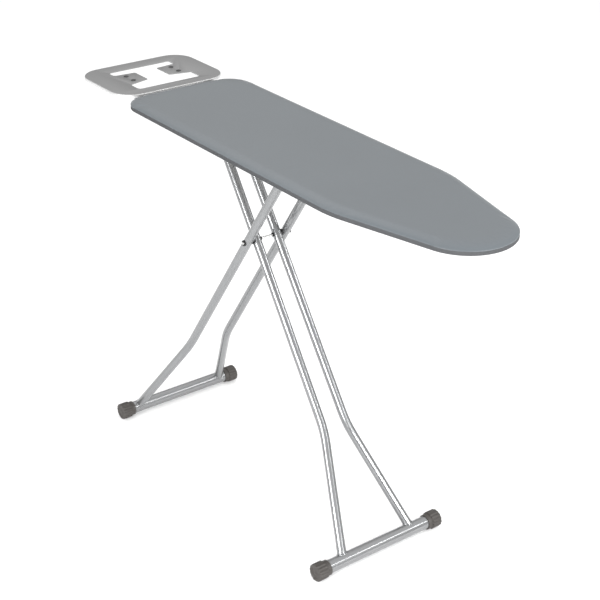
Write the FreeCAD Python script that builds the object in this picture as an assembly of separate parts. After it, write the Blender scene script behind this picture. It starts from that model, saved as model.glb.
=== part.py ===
import FreeCAD, Part
import math
import os

os.makedirs("parts", exist_ok=True)

# Folding ironing board with an iron rest, standing open at its full height.
# Millimetres. +Z up, +X towards the nose, +Y to the left of someone facing the nose.
# The origin is on the floor, under the middle of the whole object's box.

# Whole object
HALF_LENGTH = 675.1
NOSE_TIP_X = HALF_LENGTH
PIVOT_X = -80.4
PIVOT_Z = 637.3

# Ironing surface, seen from above
BOARD_HALF_WIDTH = 165.0
BOARD_BACK_X = -441.8
BACK_CORNER_R = 64.0
SHOULDER_X = 355.6
SHOULDER_R = 272.0
NOSE_R = 107.6

# Ironing surface, layer by layer
COVER_TOP_Z = 901.5
COVER_BOTTOM_Z = 887.0
COVER_T = 1.5
COVER_EDGE_R = 9.0
HEM_WIDTH = 35.0
PAD_T = 4.0
PANEL_T = 1.2
PANEL_INSET = 2.5
PANEL_LIP = 8.0
PANEL_TOP_Z = COVER_TOP_Z - COVER_T - PAD_T
PANEL_BOTTOM_Z = COVER_BOTTOM_Z + COVER_T
UNDERSIDE_Z = PANEL_TOP_Z - PANEL_T

# Iron rest
REST_REAR_X = -HALF_LENGTH
REST_FRONT_X = -451.0
REST_HALF_WIDTH = 153.0
REST_CORNER_R = 56.0
REST_TOP_Z = 900.0
REST_RIM = 8.0
REST_T = 1.5
REST_EDGE_R = 3.0
SLOT_REAR_X = -629.0
SLOT_FRONT_X = -483.0
SLOT_HALF_LENGTH = 88.0
SLOT_END_R = 9.0
TAB_ROOT_REAR_X = -603.0
TAB_ROOT_FRONT_X = -522.5
TAB_TIP_REAR_X = -597.5
TAB_TIP_FRONT_X = -536.5
TAB_TIP_Y = 31.0
TAB_TIP_R = 4.0
REST_PAD_XS = (-583.0, -548.0)
REST_PAD_Y = 65.0
REST_PAD_R = 6.0
REST_PAD_RISE = 1.2
REST_PAD_STEM_R = 2.5
REST_PAD_STEM = 3.5
ARM_Y = 100.0
ARM_WIDTH = 20.0
ARM_T = 3.0
ARM_REAR_X = -640.0
ARM_DIP_X = -490.0
ARM_FRONT_X = -318.0
ARM_JOGGLE = 10.0
ARM_BOLT_XS = (-328.0, -350.0)
BOLT_R = 2.5
BOLT_HEAD_R = 4.6
BOLT_HEAD_T = 3.0

# Leg frames: each leg is straight seen from the side, and kneed outwards seen from the front
LEG_R = 10.75
LEG_WALL = 1.2
KNEE_R = 250.0
LEG_OVERRUN = 8.0
FOOT_R = 15.5
FOOT_WALL = 1.5
CAP_R = 21.0
FOOT_Z = CAP_R
HINGE_Z = 877.5
INNER_SLOPE = -0.7081
INNER_TOP_Y = 27.2
INNER_KNEE_Y = 32.0
INNER_KNEE_Z = 253.9
INNER_FOOT_Y = 101.5
OUTER_SLOPE = 0.6665
OUTER_TOP_Y = 51.9
OUTER_KNEE_Y = 55.8
OUTER_KNEE_Z = 252.7
OUTER_FOOT_Y = 128.9

# Foot caps
CAP_END_Y = 180.5
CAP_DRUM = 25.0
CAP_COLLAR = 11.0
CAP_COLLAR_R = 18.2
CAP_EDGE_R = 4.0
CAP_END_WALL = 4.0
CAP_LOBES = 14
CAP_GROOVE_R = 3.6
CAP_GROOVE_DEPTH = 1.5

# Scissor axle through all four legs
AXLE_R = 2.5
AXLE_HEAD_R = 3.4
AXLE_HEAD_T = 1.5
SADDLE_R = 7.0
SADDLE_T = 1.8
SPACER_R = 8.0
COLLAR_R = 4.8
COLLAR_T = 2.2
RUNNING_GAP = 0.06
SIDE_GAP = 0.35

# Hinge of the inner frame, under the board
ROD_R = 4.0
HINGE_BRACKET_LENGTH = 64.0
HINGE_EAR_Y = 42.0
SHEET_T = 2.0
HINGE_EAR_R = 11.0
NUT_R = 7.0
NUT_T = 2.5
RIVET_R = 3.5
RIVET_T = 1.6
RIVET_DX = 20.0
RIVET_Y = 7.0

# Slide rails for the top rod of the outer frame
FOLD_DEG = 52.8
RAIL_Y = 67.0
RAIL_FLANGE = 20.0
RAIL_DROP = 30.0
RAIL_END = 26.0
GLIDE_R = 7.0
GLIDE_FLANGE_R = 9.0
GLIDE_FLANGE_T = 2.0
GLIDE_T = 7.0
SLOT_BELOW = 0.5
SLOT_ABOVE = 1.4
SLIDE_ROD_RIGHT_Y = -90.0
SLIDE_ROD_LEFT_Y = 78.0

# Notched rack and release lever, on the right-hand side
RACK_Y = -79.0
RACK_T = 3.0
RACK_FLANGE = 18.0
RACK_TIP_Z = 883.1
RACK_NOTCHES = 6
RACK_PITCH = 42.0
NOTCH_R = 4.6
RACK_END = 16.0
LEVER_Y = -79.5
LEVER_T = 4.0
LEVER_TOP_Z = 872.7
LEVER_DEPTH = 9.0
LEVER_PIVOT_X = 30.0
LEVER_BAR_END_X = 345.0
LEVER_TAIL_X = 4.0
LEVER_HAND_X = -52.0
LEVER_HAND_Y = -119.0
LEVER_HAND_WIDTH = 18.0
PIN_R = 2.5
GRIP_T = 3.0
GRIP_X = (-54.0, 16.0)
GRIP_Y = (-124.0, -96.0)
GRIP_ROUND = 4.0
BRACKET_GAP = 0.6
BRACKET_WIDTH = 20.0
SPRING_WIRE_R = 0.8
SPRING_R = 5.2
SPRING_PITCH = 2.0
SPRING_TURNS = 4
SPRING_TAIL = 14.0

# Cross stiffeners under the panel
STIFFENER_XS = {"rear": -388.0, "front": 430.0}
STIFFENER_HALF_LENGTHS = {"rear": 118.0, "front": 100.0}
STIFFENER_WIDTH = 30.0
STIFFENER_TOP = 14.0
STIFFENER_DEPTH = 7.5

X_AXIS = FreeCAD.Vector(1, 0, 0)
Y_AXIS = FreeCAD.Vector(0, 1, 0)
Z_AXIS = FreeCAD.Vector(0, 0, 1)
PAST = 5.0
TOUCH = 0.01


def vec(x, y, z):
    return FreeCAD.Vector(x, y, z)


def save(name, shape):
    solid = shape.removeSplitter()
    if len(solid.Solids) == 1:
        solid = solid.Solids[0]
    if not solid.isValid():
        raise RuntimeError(name + " is not a valid solid")
    solid.exportStep(os.path.join("parts", name + ".step"))


def box(x0, x1, y0, y1, z0, z1):
    low = vec(min(x0, x1), min(y0, y1), min(z0, z1))
    return Part.makeBox(abs(x1 - x0), abs(y1 - y0), abs(z1 - z0), low)


def rod(radius, x, z, y0, y1):
    """A cylinder that lies along Y."""
    return Part.makeCylinder(radius, abs(y1 - y0), vec(x, min(y0, y1), z), Y_AXIS)


def ring(outer, inner, x, z, y0, y1):
    return rod(outer, x, z, y0, y1).cut(rod(inner, x, z, y0 - PAST, y1 + PAST))


def post(radius, x, y, z0, z1):
    """A cylinder that stands along Z."""
    return Part.makeCylinder(radius, z1 - z0, vec(x, y, z0), Z_AXIS)


def group(shapes):
    return Part.makeCompound(shapes)


def mirrored(shape):
    return shape.mirror(vec(0, 0, 0), Y_AXIS)


def rounded_prism(points, radii, z0, z1):
    """An upright prism on a polygon whose corners have the radii given."""
    edges = []
    ends = []
    count = len(points)
    for i in range(count):
        corner = vec(points[i][0], points[i][1], z0)
        before = vec(points[i - 1][0], points[i - 1][1], z0).sub(corner)
        after = vec(points[(i + 1) % count][0], points[(i + 1) % count][1], z0).sub(corner)
        half = before.getAngle(after) / 2
        reach = radii[i] / math.tan(half)
        start = corner.add(before.normalize().multiply(reach))
        finish = corner.add(after.normalize().multiply(reach))
        middle_line = before.add(after).normalize()
        centre = corner.add(middle_line * (radii[i] / math.sin(half)))
        middle = centre.sub(middle_line * radii[i])
        edges.append(Part.Arc(start, middle, finish).toShape())
        ends.append((start, finish))
    sides = [Part.makeLine(ends[i][1], ends[(i + 1) % count][0]) for i in range(count)]
    wire = Part.Wire(Part.__sortEdges__(edges + sides))
    return Part.Face(wire).extrude(vec(0, 0, z1 - z0))


def bent_strip(points, thickness, y0, y1):
    """A strip of sheet bent along a line in the X-Z plane. The line is its upper face."""
    lower = []
    for i, (x, z) in enumerate(points):
        ahead = points[min(i + 1, len(points) - 1)]
        here = points[i]
        behind = points[max(i - 1, 0)]
        into = vec(here[0] - behind[0], 0, here[1] - behind[1])
        out = vec(ahead[0] - here[0], 0, ahead[1] - here[1])
        into = out if into.Length == 0 else into
        out = into if out.Length == 0 else out
        bisector = into.normalize().add(out.normalize()).normalize()
        drop = thickness / abs(bisector.dot(into))
        lower.append((x + bisector.z * drop, z - bisector.x * drop))
    outline = [vec(x, y0, z) for x, z in points + lower[::-1] + points[:1]]
    return Part.Face(Part.makePolygon(outline)).extrude(vec(0, y1 - y0, 0))


# ---- ironing surface ----

def taper_angle():
    """How far the tapering sides turn in from the board's length."""
    dx = NOSE_TIP_X - NOSE_R - SHOULDER_X
    return math.atan2(BOARD_HALF_WIDTH, dx) - math.asin(NOSE_R / math.hypot(dx, BOARD_HALF_WIDTH))


def board_plate(inset, z0, z1):
    """The board's outline, drawn in by an inset and stood up from z0 to z1."""
    turn = taper_angle()
    normal = vec(math.sin(turn), math.cos(turn), 0)
    half_normal = vec(math.sin(turn / 2), math.cos(turn / 2), 0)
    corner = vec(BOARD_BACK_X + BACK_CORNER_R, BOARD_HALF_WIDTH - BACK_CORNER_R, z0)
    corner_r = BACK_CORNER_R - inset
    diagonal = vec(-1, 1, 0).normalize()
    shoulder_x = SHOULDER_X - SHOULDER_R * math.tan(turn / 2)
    shoulder = vec(shoulder_x, BOARD_HALF_WIDTH - SHOULDER_R, z0)
    shoulder_r = SHOULDER_R - inset
    nose = vec(NOSE_TIP_X - NOSE_R, 0, z0)
    nose_r = NOSE_R - inset

    def flip(point):
        return vec(point.x, -point.y, point.z)

    def arc(centre, radius, first, middle, last):
        points = [centre + direction * radius for direction in (first, middle, last)]
        return points

    back_arc = arc(corner, corner_r, -X_AXIS, diagonal, Y_AXIS)
    shoulder_arc = arc(shoulder, shoulder_r, Y_AXIS, half_normal, normal)
    nose_start = nose + normal * nose_r
    nose_end = flip(nose_start)
    edges = [
        Part.makeLine(flip(back_arc[0]), back_arc[0]),
        Part.Arc(*back_arc).toShape(),
        Part.makeLine(back_arc[2], shoulder_arc[0]),
        Part.Arc(*shoulder_arc).toShape(),
        Part.makeLine(shoulder_arc[2], nose_start),
        Part.Arc(nose_start, nose + X_AXIS * nose_r, nose_end).toShape(),
        Part.makeLine(nose_end, flip(shoulder_arc[2])),
        Part.Arc(*[flip(point) for point in shoulder_arc[::-1]]).toShape(),
        Part.makeLine(flip(shoulder_arc[0]), flip(back_arc[2])),
        Part.Arc(*[flip(point) for point in back_arc[::-1]]).toShape(),
    ]
    return Part.Face(Part.Wire(edges)).extrude(vec(0, 0, z1 - z0))


def round_top(plate, z, radius):
    edges = [e for e in plate.Edges if abs(e.BoundBox.ZMin - z) < TOUCH and e.BoundBox.ZLength < TOUCH]
    return plate.makeFillet(radius, edges)


def cover_cavity():
    """The space inside the cover, which the pad and the panel fill."""
    top = COVER_TOP_Z - COVER_T
    return round_top(board_plate(COVER_T, PANEL_BOTTOM_Z, top), top, COVER_EDGE_R - COVER_T)


def make_cover():
    outer = round_top(board_plate(0, COVER_BOTTOM_Z, COVER_TOP_Z), COVER_TOP_Z, COVER_EDGE_R)
    mouth = board_plate(HEM_WIDTH, COVER_BOTTOM_Z - PAST, PANEL_BOTTOM_Z + PAST)
    save("cover", outer.cut(cover_cavity()).cut(mouth))


def make_pad():
    layer = board_plate(-PAST, PANEL_TOP_Z, COVER_TOP_Z)
    save("pad", cover_cavity().common(layer))


def make_board_panel():
    """A pressed sheet with a turned-down rim and a lip turned in at the bottom."""
    tray = board_plate(PANEL_INSET, PANEL_BOTTOM_Z, PANEL_TOP_Z)
    inside = board_plate(PANEL_INSET + PANEL_T, PANEL_BOTTOM_Z + PANEL_T, UNDERSIDE_Z)
    mouth = board_plate(PANEL_INSET + PANEL_LIP, PANEL_BOTTOM_Z - PAST, UNDERSIDE_Z - PANEL_T)
    save("board_panel", tray.cut(inside).cut(mouth))


def make_stiffener(place):
    """A shallow hat-section bar across the underside of the panel."""
    x = STIFFENER_XS[place]
    half = STIFFENER_WIDTH / 2
    crown = STIFFENER_TOP / 2
    flange_z = UNDERSIDE_Z
    crown_z = UNDERSIDE_Z - STIFFENER_DEPTH + PANEL_T
    outline = [
        (x - half, flange_z),
        (x - crown - PANEL_LIP / 2, flange_z),
        (x - crown, crown_z),
        (x + crown, crown_z),
        (x + crown + PANEL_LIP / 2, flange_z),
        (x + half, flange_z),
    ]
    length = STIFFENER_HALF_LENGTHS[place]
    save("cross_stiffener_" + place, bent_strip(outline, PANEL_T, -length, length))


# ---- iron rest ----

def rest_slot():
    """The H-shaped opening of the iron rest, as an upright prism through it."""
    outline = [
        (SLOT_REAR_X, -SLOT_HALF_LENGTH),
        (TAB_ROOT_REAR_X, -SLOT_HALF_LENGTH),
        (TAB_TIP_REAR_X, -TAB_TIP_Y),
        (TAB_TIP_FRONT_X, -TAB_TIP_Y),
        (TAB_ROOT_FRONT_X, -SLOT_HALF_LENGTH),
        (SLOT_FRONT_X, -SLOT_HALF_LENGTH),
    ]
    outline = outline + [(x, -y) for x, y in outline[::-1]]
    ends = [SLOT_END_R, SLOT_END_R, TAB_TIP_R, TAB_TIP_R, SLOT_END_R, SLOT_END_R]
    return rounded_prism(outline, ends + ends[::-1], REST_TOP_Z - REST_RIM - PAST, REST_TOP_Z + PAST)


def rest_prism(inset, z0, z1):
    half = REST_HALF_WIDTH - inset
    rear = REST_REAR_X + inset
    front = REST_FRONT_X - inset
    corners = [(rear, -half), (front, -half), (front, half), (rear, half)]
    return rounded_prism(corners, [REST_CORNER_R - inset] * len(corners), z0, z1)


def make_rest_plate():
    """A pressed steel plate with a turned-down rim, and holes for the stems of the pads."""
    bottom = REST_TOP_Z - REST_RIM
    shell = round_top(rest_prism(0, bottom, REST_TOP_Z), REST_TOP_Z, REST_EDGE_R)
    inner_top = REST_TOP_Z - REST_T
    hollow = round_top(rest_prism(REST_T, bottom - PAST, inner_top), inner_top, REST_EDGE_R - REST_T)
    plate = shell.cut(hollow).cut(rest_slot())
    for x in REST_PAD_XS:
        for y in (-REST_PAD_Y, REST_PAD_Y):
            plate = plate.cut(post(REST_PAD_STEM_R, x, y, bottom, REST_TOP_Z + PAST))
    save("rest_plate", plate)


def make_rest_pads():
    """Four heat-proof silicone buttons pushed into the plate, which the hot iron stands on."""
    pads = []
    for x in REST_PAD_XS:
        for y in (-REST_PAD_Y, REST_PAD_Y):
            button = post(REST_PAD_R, x, y, REST_TOP_Z, REST_TOP_Z + REST_PAD_RISE)
            button = round_top(button, REST_TOP_Z + REST_PAD_RISE, REST_PAD_RISE / 2)
            stem = post(REST_PAD_STEM_R, x, y, REST_TOP_Z - REST_PAD_STEM, REST_TOP_Z)
            pads.append(button.fuse(stem))
    save("rest_pads", group(pads))


def rest_arm(y):
    """A flat bar from the rest plate to the panel, which dips under the plate's rim and the hem."""
    high_z = REST_TOP_Z - REST_T
    low_z = COVER_BOTTOM_Z - SIDE_GAP
    line = [
        (ARM_REAR_X, high_z),
        (ARM_DIP_X, high_z),
        (ARM_DIP_X + ARM_JOGGLE, low_z),
        (STIFFENER_XS["rear"] + STIFFENER_WIDTH / 2, low_z),
        (STIFFENER_XS["rear"] + STIFFENER_WIDTH / 2 + ARM_JOGGLE, UNDERSIDE_Z),
        (ARM_FRONT_X, UNDERSIDE_Z),
    ]
    arm = bent_strip(line, ARM_T, y - ARM_WIDTH / 2, y + ARM_WIDTH / 2)
    for x in ARM_BOLT_XS:
        arm = arm.cut(post(BOLT_R, x, y, low_z - PAST, UNDERSIDE_Z + PAST))
    return arm


def make_rest_arms():
    save("rest_arm_right", rest_arm(-ARM_Y))
    save("rest_arm_left", rest_arm(ARM_Y))


def make_rest_bolts():
    bolts = []
    for x in ARM_BOLT_XS:
        for y in (-ARM_Y, ARM_Y):
            shank = post(BOLT_R, x, y, UNDERSIDE_Z - ARM_T, UNDERSIDE_Z)
            head_z = UNDERSIDE_Z - ARM_T - BOLT_HEAD_T
            head = post(BOLT_HEAD_R, x, y, head_z, head_z + BOLT_HEAD_T)
            rim = [e for e in head.Edges if abs(e.BoundBox.ZMax - head_z) < TOUCH]
            head = head.makeFillet(BOLT_HEAD_T / 2, rim)
            bolts.append(shank.fuse(head))
    save("rest_bolts", group(bolts))


# ---- leg frames ----

def leg_x(slope, z):
    return PIVOT_X + slope * (z - PIVOT_Z)


def pipe(path, radius):
    start = path.Edges[0].valueAt(path.Edges[0].FirstParameter)
    tangent = path.Edges[0].tangentAt(path.Edges[0].FirstParameter)
    profile = Part.Wire(Part.makeCircle(radius, start, tangent))
    return path.makePipeShell([profile], True, False)


def leg_tube(slope, top_y, knee_y, knee_z, foot_y, side):
    """A bent tube from just above its top rod, round the knee, down into the foot tube."""
    rod_point = vec(leg_x(slope, HINGE_Z), side * top_y, HINGE_Z)
    knee = vec(leg_x(slope, knee_z), side * knee_y, knee_z)
    foot = vec(leg_x(slope, FOOT_Z), side * foot_y, FOOT_Z)
    upward = rod_point.sub(knee).normalize()
    downward = foot.sub(knee).normalize()
    half = upward.getAngle(downward) / 2
    reach = KNEE_R / math.tan(half)
    inward = (upward + downward).normalize()
    centre = knee + inward * (KNEE_R / math.sin(half))
    arc = Part.Arc(knee + upward * reach, centre - inward * KNEE_R, knee + downward * reach)
    path = Part.Wire([
        Part.makeLine(rod_point + upward * LEG_OVERRUN, knee + upward * reach),
        arc.toShape(),
        Part.makeLine(knee + downward * reach, foot),
    ])
    tube = pipe(path, LEG_R).cut(pipe(path, LEG_R - LEG_WALL))
    foot_tube = rod(FOOT_R, foot.x, FOOT_Z, -CAP_END_Y, CAP_END_Y)
    piece = tube.cut(foot_tube)
    return max(piece.Solids, key=lambda solid: solid.Volume)


def lean(top_y, knee_y, knee_z):
    """How much a leg leans in towards its top, above the knee."""
    return (top_y - knee_y) / (HINGE_Z - knee_z)


INNER_LEAN = lean(INNER_TOP_Y, INNER_KNEE_Y, INNER_KNEE_Z)
OUTER_LEAN = lean(OUTER_TOP_Y, OUTER_KNEE_Y, OUTER_KNEE_Z)
INNER_PIVOT_Y = INNER_KNEE_Y + INNER_LEAN * (PIVOT_Z - INNER_KNEE_Z)
OUTER_PIVOT_Y = OUTER_KNEE_Y + OUTER_LEAN * (PIVOT_Z - OUTER_KNEE_Z)
HINGE_X = leg_x(INNER_SLOPE, HINGE_Z)
SLIDE_X = leg_x(OUTER_SLOPE, HINGE_Z)


def across(radius, x, z):
    """A cylinder right through the object along Y, for drilling."""
    return rod(radius, x, z, -CAP_END_Y, CAP_END_Y)


def make_inner_legs():
    for name, side in (("right", -1), ("left", 1)):
        leg = leg_tube(INNER_SLOPE, INNER_TOP_Y, INNER_KNEE_Y, INNER_KNEE_Z, INNER_FOOT_Y, side)
        leg = leg.cut(across(AXLE_R, PIVOT_X, PIVOT_Z))
        leg = leg.cut(across(ROD_R + RUNNING_GAP, HINGE_X, HINGE_Z))
        save("inner_leg_" + name, leg)


def make_outer_legs():
    for name, side in (("right", -1), ("left", 1)):
        leg = leg_tube(OUTER_SLOPE, OUTER_TOP_Y, OUTER_KNEE_Y, OUTER_KNEE_Z, OUTER_FOOT_Y, side)
        leg = leg.cut(across(AXLE_R + RUNNING_GAP, PIVOT_X, PIVOT_Z))
        leg = leg.cut(across(ROD_R, SLIDE_X, HINGE_Z))
        save("outer_leg_" + name, leg)


def make_foot(frame, slope):
    """A round tube across the bottom of a leg frame, with a fluted cap on each end."""
    x = leg_x(slope, FOOT_Z)
    tube_end = CAP_END_Y - CAP_END_WALL
    tube = ring(FOOT_R, FOOT_R - FOOT_WALL, x, FOOT_Z, -tube_end, tube_end)
    save(frame + "_foot_tube", tube)
    cap = foot_cap(x)
    save(frame + "_foot_cap_left", cap)
    save(frame + "_foot_cap_right", mirrored(cap))


def foot_cap(x):
    drum_start = CAP_END_Y - CAP_DRUM
    drum = rod(CAP_R, x, FOOT_Z, drum_start, CAP_END_Y)
    drum = drum.makeFillet(CAP_EDGE_R, [e for e in drum.Edges if e.Closed])
    for i in range(CAP_LOBES):
        angle = (i + 0.5) * 2 * math.pi / CAP_LOBES - math.pi / 2
        reach = CAP_R + CAP_GROOVE_R - CAP_GROOVE_DEPTH
        groove_x = x + reach * math.cos(angle)
        groove_z = FOOT_Z + reach * math.sin(angle)
        drum = drum.cut(rod(CAP_GROOVE_R, groove_x, groove_z, drum_start - PAST, CAP_END_Y + PAST))
    collar = rod(CAP_COLLAR_R, x, FOOT_Z, drum_start - CAP_COLLAR, drum_start + CAP_EDGE_R)
    bore = rod(FOOT_R, x, FOOT_Z, drum_start - CAP_COLLAR - PAST, CAP_END_Y - CAP_END_WALL)
    return drum.fuse(collar).cut(bore)


# ---- scissor axle ----

def leg_line(slope, leg_lean, y):
    """A solid cylinder on a leg's line near the axle, for cutting saddles."""
    direction = vec(slope, leg_lean, 1).normalize()
    start = vec(PIVOT_X, y, PIVOT_Z) - direction * CAP_R
    return Part.makeCylinder(LEG_R, 2 * CAP_R, start, direction)


def both_sides(make):
    shape = make()
    return group([shape, mirrored(shape)])


def make_axle():
    saddle_face = OUTER_PIVOT_Y + LEG_R + SADDLE_T
    end = saddle_face + SIDE_GAP + AXLE_HEAD_T
    pin = rod(AXLE_R, PIVOT_X, PIVOT_Z, -end, end)
    for side in (-1, 1):
        head = rod(AXLE_HEAD_R, PIVOT_X, PIVOT_Z, side * (saddle_face + SIDE_GAP), side * end)
        rim = [e for e in head.Edges if e.Closed and abs(e.BoundBox.Center.y - side * end) < TOUCH]
        head = head.makeFillet(AXLE_HEAD_T / 2, rim)
        pin = pin.fuse(head)
    save("axle", pin)


def make_axle_saddles():
    """Plastic saddles outside the outer legs, under the heads of the axle."""
    def saddle():
        face = OUTER_PIVOT_Y + LEG_R + SADDLE_T
        blank = ring(SADDLE_R, AXLE_R + RUNNING_GAP, PIVOT_X, PIVOT_Z, OUTER_PIVOT_Y, face)
        return blank.cut(leg_line(OUTER_SLOPE, OUTER_LEAN, OUTER_PIVOT_Y))
    save("axle_saddles", both_sides(saddle))


def make_axle_spacers():
    """Plastic spacers between the inner and outer legs, cupped on the inner leg."""
    def spacer():
        face = OUTER_PIVOT_Y - LEG_R - SIDE_GAP
        blank = ring(SPACER_R, AXLE_R, PIVOT_X, PIVOT_Z, INNER_PIVOT_Y, face)
        return blank.cut(leg_line(INNER_SLOPE, INNER_LEAN, INNER_PIVOT_Y))
    save("axle_spacers", both_sides(spacer))


def make_axle_collars():
    """Push-on collars that stop the inner legs sliding together along the axle."""
    def collar():
        face = INNER_PIVOT_Y - LEG_R - COLLAR_T
        blank = ring(COLLAR_R, AXLE_R, PIVOT_X, PIVOT_Z, face, INNER_PIVOT_Y)
        return blank.cut(leg_line(INNER_SLOPE, INNER_LEAN, INNER_PIVOT_Y))
    save("axle_collars", both_sides(collar))


# ---- hinge of the inner frame ----

def make_hinge_bracket():
    """A folded steel bracket under the panel, with an ear outside each inner leg."""
    half = HINGE_BRACKET_LENGTH / 2
    outer = HINGE_EAR_Y + SHEET_T
    bracket = box(HINGE_X - half, HINGE_X + half, -outer, outer, UNDERSIDE_Z - SHEET_T, UNDERSIDE_Z)
    for side in (-1, 1):
        y0 = side * HINGE_EAR_Y
        y1 = side * outer
        ear = rod(HINGE_EAR_R, HINGE_X, HINGE_Z, y0, y1)
        web = box(HINGE_X - HINGE_EAR_R, HINGE_X + HINGE_EAR_R, y0, y1, HINGE_Z, UNDERSIDE_Z)
        foot = bent_ear(half, y0, y1)
        bracket = bracket.fuse(ear).fuse(web).fuse(foot)
    save("hinge_bracket", bracket.cut(across(ROD_R, HINGE_X, HINGE_Z)))


def bent_ear(half, y0, y1):
    """The sloping sides of an ear, from the full length of the bracket to its rounded end."""
    points = [
        vec(HINGE_X - half, y0, UNDERSIDE_Z),
        vec(HINGE_X + half, y0, UNDERSIDE_Z),
        vec(HINGE_X + half, y0, UNDERSIDE_Z - PAST),
        vec(HINGE_X + HINGE_EAR_R, y0, HINGE_Z),
        vec(HINGE_X - HINGE_EAR_R, y0, HINGE_Z),
        vec(HINGE_X - half, y0, UNDERSIDE_Z - PAST),
        vec(HINGE_X - half, y0, UNDERSIDE_Z),
    ]
    return Part.Face(Part.makePolygon(points)).extrude(vec(0, y1 - y0, 0))


def make_hinge_rod():
    end = HINGE_EAR_Y + SHEET_T + NUT_T
    save("hinge_rod", rod(ROD_R, HINGE_X, HINGE_Z, -end, end))


def make_hinge_rod_nuts():
    def nut():
        start = HINGE_EAR_Y + SHEET_T
        return ring(NUT_R, ROD_R, HINGE_X, HINGE_Z, start, start + NUT_T)
    save("hinge_rod_nuts", both_sides(nut))


def make_hinge_rivets():
    rivets = []
    for x in (HINGE_X - RIVET_DX, HINGE_X + RIVET_DX):
        for y in (-RIVET_Y, RIVET_Y):
            face = UNDERSIDE_Z - SHEET_T
            head = post(RIVET_R, x, y, face - RIVET_T, face)
            rim = [e for e in head.Edges if abs(e.BoundBox.ZMax - face + RIVET_T) < TOUCH]
            rivets.append(head.makeFillet(RIVET_T / 2, rim))
    save("hinge_rivets", group(rivets))


# ---- slide rails and the outer frame's top rod ----

def folded_slide_x():
    """Where the top rod of the outer frame lies when the legs are folded."""
    rise = HINGE_Z - PIVOT_Z
    inner_arm = math.hypot(HINGE_X - PIVOT_X, rise)
    outer_arm = math.hypot(SLIDE_X - PIVOT_X, rise)
    folded = math.atan2(rise, PIVOT_X - HINGE_X) - math.radians(FOLD_DEG)
    drop = inner_arm * math.sin(folded)
    return HINGE_X + inner_arm * math.cos(folded) + math.sqrt(outer_arm ** 2 - drop ** 2)


def slide_slot():
    """The long slot that the glides run in, right through both rails."""
    start = SLIDE_X - GLIDE_R - SLOT_BELOW
    finish = folded_slide_x() + GLIDE_R + SLOT_BELOW
    low = HINGE_Z - GLIDE_R - SLOT_BELOW
    high = HINGE_Z + GLIDE_R + SLOT_ABOVE
    radius = (high - low) / 2
    slot = box(start + radius, finish - radius, -CAP_END_Y, CAP_END_Y, low, high)
    for x in (start + radius, finish - radius):
        slot = slot.fuse(across(radius, x, (low + high) / 2))
    return slot


def slide_rail():
    start = SLIDE_X - RAIL_END
    finish = folded_slide_x() + RAIL_END
    bottom = UNDERSIDE_Z - RAIL_DROP
    web = box(start, finish, RAIL_Y, RAIL_Y + SHEET_T, bottom, UNDERSIDE_Z)
    flange = box(start, finish, RAIL_Y + SHEET_T - RAIL_FLANGE, RAIL_Y, UNDERSIDE_Z - SHEET_T, UNDERSIDE_Z)
    return web.fuse(flange).cut(slide_slot())


def make_slide_rails():
    rail = slide_rail()
    save("slide_rail_left", rail)
    save("slide_rail_right", mirrored(rail))


def make_slide_rod():
    save("slide_rod", rod(ROD_R, SLIDE_X, HINGE_Z, SLIDE_ROD_RIGHT_Y, SLIDE_ROD_LEFT_Y))


def make_slide_rod_nuts():
    right = ring(NUT_R, ROD_R, SLIDE_X, HINGE_Z, SLIDE_ROD_RIGHT_Y, SLIDE_ROD_RIGHT_Y + NUT_T)
    left = ring(NUT_R, ROD_R, SLIDE_X, HINGE_Z, SLIDE_ROD_LEFT_Y - NUT_T, SLIDE_ROD_LEFT_Y)
    save("slide_rod_nuts", group([right, left]))


def make_slide_glides():
    """Flanged plastic glides on the rod, which run in the slots of the rails."""
    def glide():
        body_start = RAIL_Y - SIDE_GAP - GLIDE_FLANGE_T
        body = ring(GLIDE_R, ROD_R, SLIDE_X, HINGE_Z, body_start, body_start + GLIDE_T)
        flange = ring(GLIDE_FLANGE_R, ROD_R, SLIDE_X, HINGE_Z, body_start, body_start + GLIDE_FLANGE_T)
        return body.fuse(flange)
    save("slide_glides", both_sides(glide))


# ---- rack and release lever ----

def make_height_rack():
    """A steel angle with a notch for each height; the top rod passes just under its teeth."""
    start = SLIDE_X - RACK_END
    finish = SLIDE_X + (RACK_NOTCHES - 1) * RACK_PITCH + RACK_END
    web = box(start, finish, RACK_Y, RACK_Y + RACK_T, RACK_TIP_Z, UNDERSIDE_Z)
    flange = box(start, finish, RACK_Y - RACK_FLANGE, RACK_Y, UNDERSIDE_Z - SHEET_T, UNDERSIDE_Z)
    rack = web.fuse(flange)
    for i in range(RACK_NOTCHES):
        x = SLIDE_X + i * RACK_PITCH
        rack = rack.cut(rod(NOTCH_R, x, RACK_TIP_Z, RACK_Y - PAST, RACK_Y + RACK_T + PAST))
    save("height_rack", rack)


def make_lever_bracket():
    """A small fork under the panel that holds the lever's pin."""
    pin_z = LEVER_TOP_Z - LEVER_DEPTH / 2
    half = BRACKET_WIDTH / 2
    inner = LEVER_Y + LEVER_T + BRACKET_GAP
    outer = LEVER_Y - BRACKET_GAP
    x0 = LEVER_PIVOT_X - half
    x1 = LEVER_PIVOT_X + half
    fork = box(x0, x1, outer - SHEET_T, inner + SHEET_T, UNDERSIDE_Z - SHEET_T, UNDERSIDE_Z)
    for y0, y1 in ((inner, inner + SHEET_T), (outer - SHEET_T, outer)):
        fork = fork.fuse(box(x0, x1, y0, y1, pin_z, UNDERSIDE_Z))
        fork = fork.fuse(rod(half, LEVER_PIVOT_X, pin_z, y0, y1))
    save("lever_bracket", fork.cut(across(PIN_R, LEVER_PIVOT_X, pin_z)))


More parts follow.
